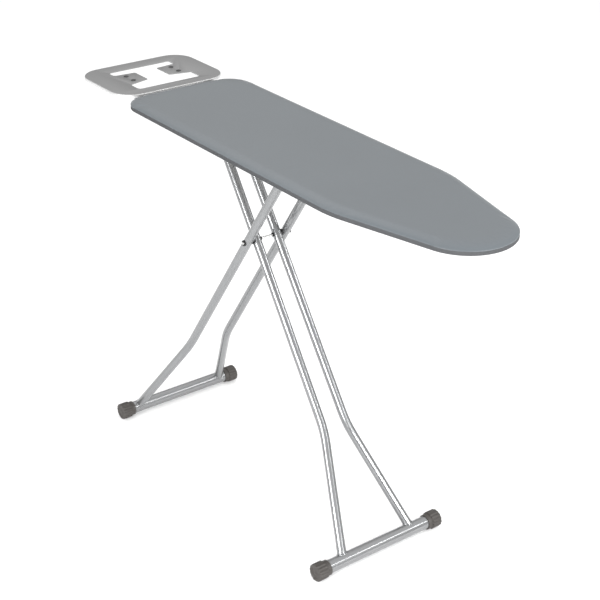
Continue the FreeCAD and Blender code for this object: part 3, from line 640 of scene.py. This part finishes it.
def fibre_group():
    """Matted fibres: short curls of lighter and darker wool, pressed flat."""
    group, takes, gives = group_with(
        "matted_fibres",
        [
            ("Vector", "NodeSocketVector", None),
            ("Light", "NodeSocketColor", None),
            ("Dark", "NodeSocketColor", None),
        ],
        [("Color", "NodeSocketColor"), ("Roughness", "NodeSocketFloat"), ("Height", "NodeSocketFloat")],
    )
    curls = put(group, "ShaderNodeTexNoise", Scale=900.0, Detail=4.0, Distortion=2.5)
    specks = put(group, "ShaderNodeTexVoronoi", Scale=350.0)
    for texture in (curls, specks):
        group.links.new(takes.outputs["Vector"], texture.inputs["Vector"])
    curled = maths(group, "MULTIPLY", curls.outputs["Fac"], 0.7)
    share = maths(group, "MULTIPLY_ADD", specks.outputs["Distance"], 0.4, curled)
    colour = mix_colour(group, share, takes.outputs["Dark"], takes.outputs["Light"])
    group.links.new(colour, gives.inputs["Color"])
    group.links.new(maths(group, "MULTIPLY_ADD", curls.outputs["Fac"], 0.1, 0.86), gives.inputs["Roughness"])
    group.links.new(curls.outputs["Fac"], gives.inputs["Height"])
    return group


def on_object(material, node):
    """Feeds a group's Vector from the piece's own place in the object."""
    place = put(material.node_tree, "ShaderNodeTexCoord")
    material.node_tree.links.new(place.outputs["Object"], node.inputs["Vector"])


felt, felt_shader = new_material("needle_felt", FELT_COLOUR, 0.9)
felt_fibres = place_group(felt, fibre_group(), Light=FELT_COLOUR, Dark=FELT_SHADE)
on_object(felt, felt_fibres)
finish_surface(felt, felt_shader, felt_fibres, 0.6, 0.0003)
felt_pad.data.materials.append(felt)


# ==== Steel panel ====
# A sheet of expanded steel mesh, spot-welded inside a pressed rim that runs round the board.
# The steam goes down through its diamonds; the rim is turned down and has a lip turned in.

MESH_LENGTH = 0.024
MESH_WIDTH = 0.012
STRAND = 0.0013
MESH_THICKNESS = 0.0008
MESH_BELOW_FELT = 0.00035
RIM_SHEET = 0.0011
RIM_BAND = 0.036
MESH_INSET = 0.024
RIM_STEPS = 420
PANEL_INSET = 0.0028

panel_low, panel_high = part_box("board_panel")


def rim_rings():
    """The rim's section, from the inside edge of its band, over the edge and down to its lip."""
    top = panel_high.z - 0.0003
    bottom = panel_low.z + 0.0002
    section = [
        (RIM_BAND, top - 0.0012),
        (RIM_BAND - 0.002, top - 0.0003),
        (RIM_BAND - 0.004, top),
        (PANEL_INSET + 0.0024, top),
        (PANEL_INSET + 0.0008, top - 0.0005),
        (PANEL_INSET, top - 0.0018),
        (PANEL_INSET, bottom + 0.0018),
        (PANEL_INSET + 0.0008, bottom + 0.0005),
        (PANEL_INSET + 0.0024, bottom),
        (PANEL_INSET + 0.008, bottom),
    ]
    return [(inset, z, inset, 1.0) for inset, z in section]


panel_rim = wrap_grid("panel_rim", rim_rings(), RIM_STEPS)
rim_sheet = panel_rim.modifiers.new("sheet", "SOLIDIFY")
rim_sheet.thickness = RIM_SHEET
rim_sheet.offset = -1.0
apply_all(panel_rim)
bpy.ops.object.shade_smooth_by_angle(angle=math.radians(40))
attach(panel_rim, "board")
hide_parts("board_panel")

side = MESH_LENGTH / math.sqrt(2)
mesh_reach = (cover_high.x - cover_low.x) / 2 + cover_high.y * MESH_LENGTH / MESH_WIDTH
cells = int(2 * mesh_reach / MESH_LENGTH) + 2
select_only(panel_rim)
bpy.ops.mesh.primitive_grid_add(x_subdivisions=cells, y_subdivisions=cells, size=cells * side)
panel_mesh = bpy.context.object
panel_mesh.name = "panel_mesh"
middle_x = (cover_low.x + cover_high.x) / 2
panel_mesh.data.transform(
    Matrix.Translation((middle_x, 0, panel_high.z - MESH_BELOW_FELT))
    @ Matrix.Diagonal((1.0, MESH_WIDTH / MESH_LENGTH, 1.0, 1.0))
    @ Matrix.Rotation(math.radians(45), 4, "Z")
)


def inside_board(point, inset):
    """True if a point is within the board's outline drawn in by an inset."""
    nose = Vector((cover_high.x - NOSE_R, 0))
    if point.x > nose.x:
        return (Vector((point.x, point.y)) - nose).length < NOSE_R - inset
    taper_start = BOARD_RUNS[1][0]
    taper_end = BOARD_RUNS[2][0] + (taper_start - nose).normalized() * SHOULDER_R
    edge_y = cover_high.y
    if point.x > taper_end.x:
        share = (point.x - taper_end.x) / (taper_start.x - taper_end.x)
        edge_y = taper_end.y + (taper_start.y - taper_end.y) * share
    if point.x < cover_low.x + BACK_CORNER_R:
        corner = Vector((cover_low.x + BACK_CORNER_R, cover_high.y - BACK_CORNER_R))
        if abs(point.y) > corner.y:
            return (Vector((point.x, abs(point.y))) - corner).length < BACK_CORNER_R - inset
    return abs(point.y) < edge_y - inset and point.x > cover_low.x + inset


def select_faces(piece, wanted):
    """In object mode, selects the faces that pass a test of their middle and normal."""
    for edge in piece.data.edges:
        edge.select = False
    for vertex in piece.data.vertices:
        vertex.select = False
    for face in piece.data.polygons:
        face.select = wanted(face.center, face.normal)


def in_edit(piece, wanted, *steps):
    """Selects faces, then runs edit-mode steps on them."""
    select_only(piece)
    select_faces(piece, wanted)
    bpy.ops.object.mode_set(mode="EDIT")
    bpy.ops.mesh.select_mode(type="FACE")
    for step in steps:
        step()
    bpy.ops.object.mode_set(mode="OBJECT")


in_edit(
    panel_mesh,
    lambda centre, normal: not inside_board(centre, MESH_INSET),
    lambda: bpy.ops.mesh.delete(type="FACE"),
    lambda: bpy.ops.mesh.select_all(action="SELECT"),
    lambda: bpy.ops.mesh.inset(thickness=STRAND / 2, use_individual=True, use_boundary=True),
    lambda: bpy.ops.mesh.delete(type="FACE"),
)
mesh_sheet = panel_mesh.modifiers.new("sheet", "SOLIDIFY")
mesh_sheet.thickness = MESH_THICKNESS
apply_all(panel_mesh)
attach(panel_mesh, "board")

ZINC_LIGHT = (0.56, 0.57, 0.58)
ZINC_DARK = (0.42, 0.43, 0.445)


def coat_group():
    """A painted or plated skin: broad mottle, a fine orange-peel grain, and a few dull scuffs."""
    group, takes, gives = group_with(
        "coated_skin",
        [
            ("Vector", "NodeSocketVector", None),
            ("Light", "NodeSocketColor", None),
            ("Dark", "NodeSocketColor", None),
            ("Mottle scale", "NodeSocketFloat", 25.0),
            ("Mottle share", "NodeSocketFloat", 0.5),
            ("Grain scale", "NodeSocketFloat", 1500.0),
            ("Smoothest", "NodeSocketFloat", 0.3),
            ("Roughest", "NodeSocketFloat", 0.5),
            ("Scuff share", "NodeSocketFloat", 0.3),
        ],
        [("Color", "NodeSocketColor"), ("Roughness", "NodeSocketFloat"), ("Height", "NodeSocketFloat")],
    )
    mottle = put(group, "ShaderNodeTexNoise", Detail=5.0, Roughness=0.55)
    grain = put(group, "ShaderNodeTexNoise", Detail=2.0, Roughness=0.5)
    scuff = put(group, "ShaderNodeTexNoise", Scale=55.0, Detail=8.0, Roughness=0.75, Distortion=1.2)
    for texture in (mottle, grain, scuff):
        group.links.new(takes.outputs["Vector"], texture.inputs["Vector"])
    group.links.new(takes.outputs["Mottle scale"], mottle.inputs["Scale"])
    group.links.new(takes.outputs["Grain scale"], grain.inputs["Scale"])
    scuffed = put(group, "ShaderNodeMapRange", From_Min=0.6, From_Max=0.74)
    group.links.new(scuff.outputs["Fac"], scuffed.inputs["Value"])
    worn = maths(group, "MULTIPLY", scuffed.outputs[0], takes.outputs["Scuff share"])
    broad = maths(group, "MULTIPLY", mottle.outputs["Fac"], takes.outputs["Mottle share"])
    fine = maths(group, "MULTIPLY_ADD", grain.outputs["Fac"], 0.18, broad)
    shade = maths(group, "MULTIPLY_ADD", worn, 0.35, fine)
    colour = mix_colour(group, shade, takes.outputs["Light"], takes.outputs["Dark"])
    group.links.new(colour, gives.inputs["Color"])
    span = maths(group, "SUBTRACT", takes.outputs["Roughest"], takes.outputs["Smoothest"])
    dulled = maths(group, "ADD", maths(group, "MULTIPLY", mottle.outputs["Fac"], 0.7), worn)
    blend = maths(group, "MINIMUM", dulled, 1.0)
    rough = maths(group, "MULTIPLY_ADD", span, blend, takes.outputs["Smoothest"])
    group.links.new(rough, gives.inputs["Roughness"])
    height = maths(group, "MULTIPLY_ADD", worn, -0.4, grain.outputs["Fac"])
    group.links.new(height, gives.inputs["Height"])
    return group


COAT = coat_group()


def coated(
    name, light, dark, metallic, smoothest, roughest, bump,
    grain=1500.0, mottle=25.0, share=0.5, scuffs=0.3,
):
    """A material with a coated skin, for a painted, plated or moulded part."""
    material, shader = new_material(name, light, smoothest, metallic)
    skin = place_group(
        material, COAT, Light=light, Dark=dark, Smoothest=smoothest, Roughest=roughest,
        Grain_scale=grain, Mottle_scale=mottle, Mottle_share=share, Scuff_share=scuffs,
    )
    on_object(material, skin)
    finish_surface(material, shader, skin, bump, 0.0002)
    return material, shader


def finish_nodes(material, slot, *names):
    """Gives CAD parts a finish in place of their plain one."""
    for name in names:
        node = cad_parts[name]
        node.data.materials.clear()
        node.data.materials.append(material)


panel_zinc, _ = coated(
    "galvanised_sheet", ZINC_LIGHT, ZINC_DARK, 0.85, 0.34, 0.55, 0.12, grain=700.0, mottle=130.0, share=0.9
)
panel_rim.data.materials.append(panel_zinc)
panel_mesh.data.materials.append(panel_zinc)


# ==== Under-board steelwork ====
# Stiffeners, slide rails, rack, brackets, arms and the release lever: folded and punched steel
# strip, spot-welded to the panel and painted silver-grey with it.

SPOT_R = 0.0026
SPOT_RISE = 0.0004
SPOT_PITCH = 0.045

under_paint, _ = coated(
    "silver_paint_on_strip", (0.44, 0.445, 0.455), (0.34, 0.345, 0.355), 0.55, 0.38, 0.58, 0.2,
    grain=1100.0, scuffs=0.6,
)
finish_nodes(
    under_paint, "under_metal", "slide_rail_left", "slide_rail_right", "height_rack",
    "cross_stiffener_front", "cross_stiffener_rear", "hinge_bracket", "lever_bracket",
    "rest_arm_left", "rest_arm_right", "release_lever",
)


bpy.ops.object.select_all(action="DESELECT")
bpy.ops.mesh.primitive_cylinder_add(vertices=20, radius=SPOT_R, depth=SPOT_RISE, location=(0, 0, 0))
one_weld = bpy.context.object
in_edit(
    one_weld,
    lambda centre, normal: normal.z < -0.9,
    lambda: bpy.ops.mesh.inset(thickness=SPOT_R * 0.35),
    lambda: bpy.ops.transform.translate(value=(0, 0, SPOT_RISE * 0.6)),
)


def weld_at(place):
    """A copy of the spot weld, a shallow dimple seen from below, at its place."""
    weld = bpy.data.objects.new("spot_weld", one_weld.data.copy())
    bpy.context.scene.collection.objects.link(weld)
    weld.data.transform(Matrix.Translation(place))
    return weld


rail_low, rail_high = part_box("slide_rail_left")
welds = []
for side_y in (-1, 1):
    flange_y = side_y * (rail_low.y + 0.006)
    for i in range(int((rail_high.x - rail_low.x) / SPOT_PITCH)):
        welds.append(weld_at((rail_low.x + SPOT_PITCH * (i + 0.5), flange_y, rail_high.z - 0.0022)))
for name in ("cross_stiffener_front", "cross_stiffener_rear"):
    low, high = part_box(name)
    for i in range(5):
        y = low.y + (high.y - low.y) * (i + 0.5) / 5
        for x in (low.x + 0.002, high.x - 0.002):
            welds.append(weld_at((x, y, high.z - 0.0014)))
bpy.data.objects.remove(one_weld)
select_only(*welds)
bpy.ops.object.join()
spot_welds = bpy.context.object
spot_welds.name = "spot_welds"
bpy.ops.object.shade_smooth_by_angle(angle=math.radians(40))
spot_welds.data.materials.append(under_paint)
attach(spot_welds, "board")


# ==== Rods, bolts and spring ====
# Bright zinc-plated rod, push nuts, rivets and bolts, and a torsion spring of bare spring wire.
# They hold the hinge, the slide and the lever together.

plated, _ = coated(
    "bright_zinc", (0.66, 0.66, 0.65), (0.46, 0.46, 0.45), 1.0, 0.22, 0.42, 0.08,
    grain=2200.0, mottle=160.0, scuffs=0.5,
)
finish_nodes(
    plated, "plated_steel", "hinge_rod", "hinge_rod_nuts", "hinge_rivets", "lever_pin", "rest_bolts", "axle",
    "slide_rod", "slide_rod_nuts",
)
spring_steel, _ = coated(
    "drawn_spring_wire", (0.4, 0.39, 0.38), (0.24, 0.23, 0.22), 1.0, 0.28, 0.45, 0.15,
    grain=3000.0, mottle=300.0,
)
finish_nodes(spring_steel, "spring_wire", "lever_spring")


# ==== Iron rest ====
# One steel plate behind the board, pressed with an H-shaped opening and a turned-down rim, and
# coated satin grey. Its cut edges are rolled over. The rim's side faces take a brighter metal colour, a
# painted highlight.

REST_BEVEL = 0.0006
REST_BORDER = 0.022
RIM_TILT = 0.75
REST_GREY = (0.2, 0.2, 0.2)
REST_DARK = (0.177, 0.177, 0.179)


def rolled_copy(node_name, piece_name, width, segments=2):
    """A merged copy of a CAD part, with its sharp edges rolled over."""
    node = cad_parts[node_name]
    piece = bpy.data.objects.new(piece_name, node.data.copy())
    bpy.context.scene.collection.objects.link(piece)
    piece.data.materials.clear()
    select_only(piece)
    bpy.ops.object.mode_set(mode="EDIT")
    bpy.ops.mesh.select_all(action="SELECT")
    bpy.ops.mesh.remove_doubles(threshold=0.00001)
    bpy.ops.mesh.dissolve_limited(angle_limit=math.radians(0.4))
    bpy.ops.object.mode_set(mode="OBJECT")
    edge = piece.modifiers.new("rolled_edge", "BEVEL")
    edge.width = width
    edge.segments = segments
    edge.limit_method = "ANGLE"
    edge.angle_limit = math.radians(40)
    apply_all(piece)
    bpy.ops.object.shade_smooth_by_angle(angle=math.radians(35))
    return piece


rest_plate = rolled_copy("rest_plate", "iron_rest_plate", REST_BEVEL)
rest_coat, rest_shader = coated(
    "satin_grey_coat", REST_GREY, REST_DARK, 0.0, 0.36, 0.5, 0.1,
    grain=1300.0, mottle=9.0, share=0.35, scuffs=0.25,
)
rest_shader.inputs["Specular IOR Level"].default_value = 0.6
# A brighter metal colour for the rim's side faces, standing in for the light they catch: painted highlight.
rim_painted_highlight, _ = coated(
    "rim_painted_highlight_metal", (0.72, 0.72, 0.72), (0.50, 0.50, 0.50), 0.6, 0.25, 0.4, 0.05,
    grain=1500.0, mottle=60.0,
)
rest_plate.data.materials.append(rest_coat)
rest_plate.data.materials.append(rim_painted_highlight)
rest_low, rest_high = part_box("rest_plate")
# Steep faces near the plate's sides and ends take the bright rim metal: painted highlight along the edge.
for face in rest_plate.data.polygons:
    near_side = abs(face.center.y) > rest_high.y - REST_BORDER
    near_end = not rest_low.x + REST_BORDER < face.center.x < rest_high.x - REST_BORDER
    if abs(face.normal.z) < RIM_TILT and (near_side or near_end):
        face.material_index = 1
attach(rest_plate, "board")
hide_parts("rest_plate")

silicone, _ = coated(
    "black_silicone", (0.018, 0.018, 0.019), (0.03, 0.03, 0.03), 0.0, 0.45, 0.6, 0.3, grain=1800.0
)
finish_nodes(silicone, "silicone", "rest_pads")


# ==== Leg frames ====
# Four bent steel tubes and two foot tubes, powder-coated silver-grey. Each leg is welded to the
# top of its foot tube with one run of weld, which the coat covers.

TUBE_LIGHT = (0.275, 0.279, 0.284)
TUBE_DARK = (0.205, 0.209, 0.213)
LEG_R = 0.01075
FOOT_R = 0.0155
BEAD_R = 0.0017
BEAD_STEPS = 72
KNEE_Z = 0.2535
LEGS = {
    "inner": {"slope": -0.7081, "knee_y": 0.0320, "foot_y": 0.1015, "body": "inner_frame"},
    "outer": {"slope": 0.6665, "knee_y": 0.0558, "foot_y": 0.1289, "body": "outer_frame"},
}

tube_coat, _ = coated(
    "silver_powder_coat", TUBE_LIGHT, TUBE_DARK, 0.7, 0.16, 0.26, 0.03,
    grain=1700.0, mottle=14.0, share=0.4, scuffs=0.25,
)
finish_nodes(
    tube_coat, "leg_tube", "inner_leg_left", "inner_leg_right", "outer_leg_left", "outer_leg_right"
)
finish_nodes(tube_coat, "foot_tube", "inner_foot_tube", "outer_foot_tube")


def weld_line(foot, direction):
    """The closed line where a leg's outside meets the foot tube's outside."""
    first = direction.cross(Vector((0, 1, 0))).normalized()
    second = direction.cross(first).normalized()
    points = []
    for i in range(BEAD_STEPS):
        angle = 2 * math.pi * i / BEAD_STEPS
        off = (first * math.cos(angle) + second * math.sin(angle)) * (LEG_R + 0.0003)
        a = direction.x ** 2 + direction.z ** 2
        b = 2 * (off.x * direction.x + off.z * direction.z)
        c = off.x ** 2 + off.z ** 2 - (FOOT_R + 0.0003) ** 2
        run = (-b + math.sqrt(b * b - 4 * a * c)) / (2 * a)
        points.append(foot + off + direction * run)
    return points


for frame_name, leg in LEGS.items():
    foot_low, foot_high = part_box(frame_name + "_foot_tube")
    foot_x = (foot_low.x + foot_high.x) / 2
    foot_z = (foot_low.z + foot_high.z) / 2
    for side_name, side_y in (("left", 1), ("right", -1)):
        foot = Vector((foot_x, side_y * leg["foot_y"], foot_z))
        knee = Vector((foot_x + leg["slope"] * (KNEE_Z - foot_z), side_y * leg["knee_y"], KNEE_Z))
        joint_line = weld_line(foot, (knee - foot).normalized())
        bead = tube_along(frame_name + "_weld_" + side_name, joint_line, BEAD_R, 3)
        for vertex in bead.data.vertices:
            ripple = noise.noise(vertex.co * 420.0) * 0.0005
            vertex.co += vertex.normal * ripple
        bead.data.materials.append(tube_coat)
        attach(bead, leg["body"])


# ==== Foot caps ====
# Moulded dark plastic caps, pushed over the ends of the foot tubes. Each has a fluted drum that
# stands on the floor, a plain collar towards the tube and a slightly sunken end.

CAP_LOBES = 14
CAP_STEPS = CAP_LOBES * 10
CAP_DRUM = 0.025
CAP_COLLAR_R = 0.0182
CAP_GROOVE = 0.0017
CAP_EDGE = 0.0042

cap_low, cap_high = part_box("inner_foot_cap_left")
cap_r = (cap_high.z - cap_low.z) / 2
cap_length = cap_high.y - cap_low.y


def model_foot_cap():
    """One cap, standing on the XY plane with its outer end up."""
    bpy.ops.object.select_all(action="DESELECT")
    bpy.ops.mesh.primitive_cylinder_add(
        vertices=CAP_STEPS, radius=cap_r, depth=CAP_DRUM, location=(0, 0, cap_length - CAP_DRUM / 2)
    )
    cap = bpy.context.object
    bpy.ops.object.transform_apply(location=True)
    top = cap_length
    drum_foot = cap_length - CAP_DRUM
    in_edit(
        cap,
        lambda centre, normal: normal.z < -0.9,
        lambda: bpy.ops.mesh.inset(thickness=cap_r - CAP_COLLAR_R),
        lambda: bpy.ops.mesh.extrude_region_move(
            TRANSFORM_OT_translate={"value": (0, 0, -(cap_length - CAP_DRUM))}
        ),
        lambda: bpy.ops.mesh.inset(thickness=CAP_COLLAR_R - FOOT_R - 0.0001),
        lambda: bpy.ops.mesh.extrude_region_move(TRANSFORM_OT_translate={"value": (0, 0, cap_length * 0.8)}),
    )
    in_edit(
        cap,
        lambda centre, normal: normal.z > 0.9 and centre.z > top - 0.0005,
        lambda: bpy.ops.mesh.inset(thickness=0.0065),
        lambda: bpy.ops.mesh.inset(thickness=0.0012),
        lambda: bpy.ops.transform.translate(value=(0, 0, -0.0011)),
        lambda: bpy.ops.mesh.inset(thickness=0.0095),
        lambda: bpy.ops.mesh.inset(thickness=0.0010),
        lambda: bpy.ops.transform.translate(value=(0, 0, 0.0006)),
    )
    edge = cap.modifiers.new("soft_edges", "BEVEL")
    edge.width = CAP_EDGE
    edge.segments = 5
    edge.limit_method = "WEIGHT"
    weights = cap.data.attributes.new("bevel_weight_edge", "FLOAT", "EDGE")
    for line in cap.data.edges:
        ends = [cap.data.vertices[i].co for i in line.vertices]
        radii = [math.hypot(end.x, end.y) for end in ends]
        level = abs(ends[0].z - ends[1].z) < 0.0001
        on_drum = min(radii) > cap_r - 0.0002 and level
        on_collar = abs(radii[0] - CAP_COLLAR_R) < 0.0003 and level and ends[0].z < 0.001
        weights.data[line.index].value = 1.0 if on_drum else 0.25 if on_collar else 0.0
    apply_all(cap)
    for vertex in cap.data.vertices:
        radius = math.hypot(vertex.co.x, vertex.co.y)
        if radius < CAP_COLLAR_R + 0.0002 or vertex.co.z < drum_foot - 0.0001:
            continue
        angle = math.atan2(vertex.co.y, vertex.co.x)
        flute = (0.5 - 0.5 * math.cos(angle * CAP_LOBES)) ** 2.2
        reach = min((radius - CAP_COLLAR_R) / (cap_r - CAP_COLLAR_R), 1.0)
        shrink = 1 - CAP_GROOVE * flute * reach / radius
        vertex.co.x *= shrink
        vertex.co.y *= shrink
    select_only(cap)
    bpy.ops.object.shade_smooth_by_angle(angle=math.radians(38))
    return cap


cap_plastic, _ = coated(
    "dark_cap_plastic", (0.036, 0.032, 0.029), (0.058, 0.051, 0.046), 0.0, 0.48, 0.66, 0.55,
    grain=900.0, mottle=60.0, share=0.5, scuffs=0.5,
)
cap_pattern = model_foot_cap()
for frame_name, leg in LEGS.items():
    for side_name, side_y in (("left", 1), ("right", -1)):
        node_name = frame_name + "_foot_cap_" + side_name
        low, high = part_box(node_name)
        inner_y = low.y if side_y > 0 else high.y
        cap = cap_pattern.copy()
        cap.data = cap_pattern.data.copy()
        cap.name = frame_name + "_cap_" + side_name
        bpy.context.scene.collection.objects.link(cap)
        stand = Matrix.Rotation(math.radians(-90 * side_y), 4, "X")
        cap.data.transform(Matrix.Translation(((low.x + high.x) / 2, inner_y, (low.z + high.z) / 2)) @ stand)
        cap.data.materials.append(cap_plastic)
        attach(cap, leg["body"])
        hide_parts(node_name)
bpy.data.objects.remove(cap_pattern)


# ==== Pivot plastics ====
# Black moulded spacers, saddles and collars on the scissor axle, and the glides of the slide rod.
# They keep the painted tubes apart, so that they don't scrape.

pivot_black, pivot_shader = coated(
    "black_pivot_plastic", (0.006, 0.006, 0.0065), (0.011, 0.011, 0.012), 0.0, 0.45, 0.6, 0.2, grain=1600.0
)
pivot_shader.inputs["Specular IOR Level"].default_value = 0.3
finish_nodes(pivot_black, "pivot_plastic", "axle_spacers", "axle_collars", "slide_glides", "axle_saddles")


# ==== Lever grip ====
# A soft-edged black plastic moulding round the hand plate of the release lever, with finger
# ribs across its underside.

GRIP_RIBS = 7
GRIP_EDGE = 0.0022

grip_low, grip_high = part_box("lever_grip")
select_only(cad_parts["lever_grip"])
bpy.ops.mesh.primitive_cube_add(size=1, location=(grip_low + grip_high) / 2)
grip = bpy.context.object
grip.name = "grip_moulding"
grip.scale = grip_high - grip_low
bpy.ops.object.transform_apply(location=True, rotation=True, scale=True)
for i in range(1, 2 * GRIP_RIBS):
    x = grip_low.x + (grip_high.x - grip_low.x) * i / (2 * GRIP_RIBS)
    bpy.ops.object.mode_set(mode="EDIT")
    bpy.ops.mesh.select_all(action="SELECT")
    bpy.ops.mesh.bisect(plane_co=(x, 0, 0), plane_no=(1, 0, 0))
    bpy.ops.object.mode_set(mode="OBJECT")
rib_step = (grip_high.x - grip_low.x) / (2 * GRIP_RIBS)
in_edit(
    grip,
    lambda centre, normal: normal.z < -0.9 and int((centre.x - grip_low.x) / rib_step) % 2 == 1,
    lambda: bpy.ops.mesh.inset(thickness=0.0012, use_individual=True),
    lambda: bpy.ops.transform.translate(value=(0, 0, 0.0011)),
)
grip_edge = grip.modifiers.new("moulded_edges", "BEVEL")
grip_edge.width = GRIP_EDGE
grip_edge.segments = 3
grip_edge.limit_method = "ANGLE"
grip_edge.angle_limit = math.radians(60)
apply_all(grip)
bpy.ops.object.shade_smooth_by_angle(angle=math.radians(40))
grip_plastic, _ = coated(
    "black_grip_plastic", (0.028, 0.028, 0.03), (0.018, 0.018, 0.019), 0.0, 0.5, 0.68, 0.5, grain=1200.0
)
grip.data.materials.append(grip_plastic)
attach(grip, "lever")
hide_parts("lever_grip")
